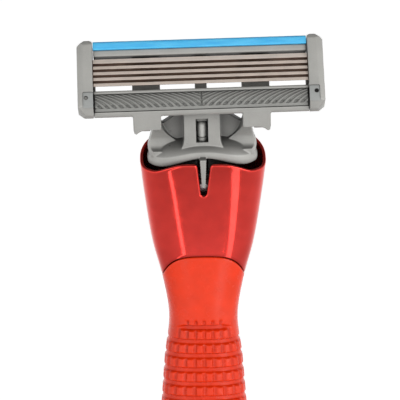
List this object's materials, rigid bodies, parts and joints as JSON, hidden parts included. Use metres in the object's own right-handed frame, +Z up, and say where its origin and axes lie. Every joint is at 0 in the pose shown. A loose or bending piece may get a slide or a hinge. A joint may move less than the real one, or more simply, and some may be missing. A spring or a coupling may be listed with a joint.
{
  "type": "cartridge razor",
  "caption": "Safety razor with a curved red handle, an orange-red ribbed grip and a grey rocking head that holds a wide pivoting blade cartridge.",
  "frame": {"origin": "on the handle's centreline in the middle of the grip, where the hand holds it", "axes": "+Z up the handle to the head, -Y to the side that the blades face, +X to the right seen from that side"},
  "size_m": [0.0412, 0.0197, 0.1439],
  "materials": {
    "metallic_red": "metallised glossy red",
    "soft_grip": "satin orange-red elastomer",
    "dark_plastic": "moulded dark plastic",
    "grey_plastic": "satin moulded grey",
    "dock_plastic": "satin moulded grey",
    "guard_rubber": "soft moulded grey",
    "lubricating_strip": "waxy sky blue",
    "blade_steel": "ground stainless edge",
    "support_steel": "bent strip, dull",
    "spring_steel": "drawn wire and pin stock",
    "weight_steel": "plain cast"
  },
  "bodies": {
    "handle": {"head_shell": "metallic_red", "grip_sleeve": "soft_grip", "tail_shell": "metallic_red", "tail_cap": "soft_grip", "core": "dark_plastic", "balance_weight": "weight_steel", "roll_pin": "spring_steel", "centring_leaf": "spring_steel", "eject_spring": "spring_steel"},
    "release": {"eject_button": "soft_grip", "eject_pusher": "dark_plastic"},
    "dock": {"dock_body": "dock_plastic", "horn_pin_left": "spring_steel", "horn_pin_right": "spring_steel", "spring_seat": "dock_plastic", "plunger_spring": "spring_steel"},
    "plunger": {"plunger": "grey_plastic"},
    "cartridge": {"housing": "grey_plastic", "end_cap_left": "grey_plastic", "end_cap_right": "grey_plastic", "lubricating_strip": "lubricating_strip", "guard_fins": "guard_rubber", "blade_1": "blade_steel", "blade_2": "blade_steel", "blade_3": "blade_steel", "blade_4": "blade_steel", "blade_5": "blade_steel", "blade_support_1": "support_steel", "blade_support_2": "support_steel", "blade_support_3": "support_steel", "blade_support_4": "support_steel", "blade_support_5": "support_steel"}
  },
  "joints": [
    {"name": "head_roll", "type": "hinge", "parent": "handle", "child": "dock", "pos_m": [0, -0.00265, 0.03825], "axis": [0, -0.9562, -0.2927], "range_deg": [-6.4, 3.6], "stiffness_Nm_per_rad": 0.02},
    {"name": "cartridge_pitch", "type": "hinge", "parent": "dock", "child": "cartridge", "pos_m": [-0.00031, -0.00949, 0.04933], "axis": [-0.9997, 0.0072, -0.0234], "range_deg": [0, 40], "stiffness_Nm_per_rad": 0.01, "springref_deg": -17.19},
    {"name": "plunger_slide", "type": "slide", "parent": "dock", "child": "plunger", "axis": [0.0244, 0.2926, -0.9559], "range_m": [0, 0.0017], "deforming": ["plunger_spring"]},
    {"name": "release_slide", "type": "slide", "parent": "handle", "child": "release", "axis": [0, -0.1621, 0.9868], "range_m": [0, 0.0015], "stiffness_N_per_m": 400, "springref_m": -0.0005, "deforming": ["eject_spring"]}
  ],
  "couplings": [
    {"joint": "plunger_slide", "follows": "cartridge_pitch", "m_per_rad": 0.002364}
  ]
}
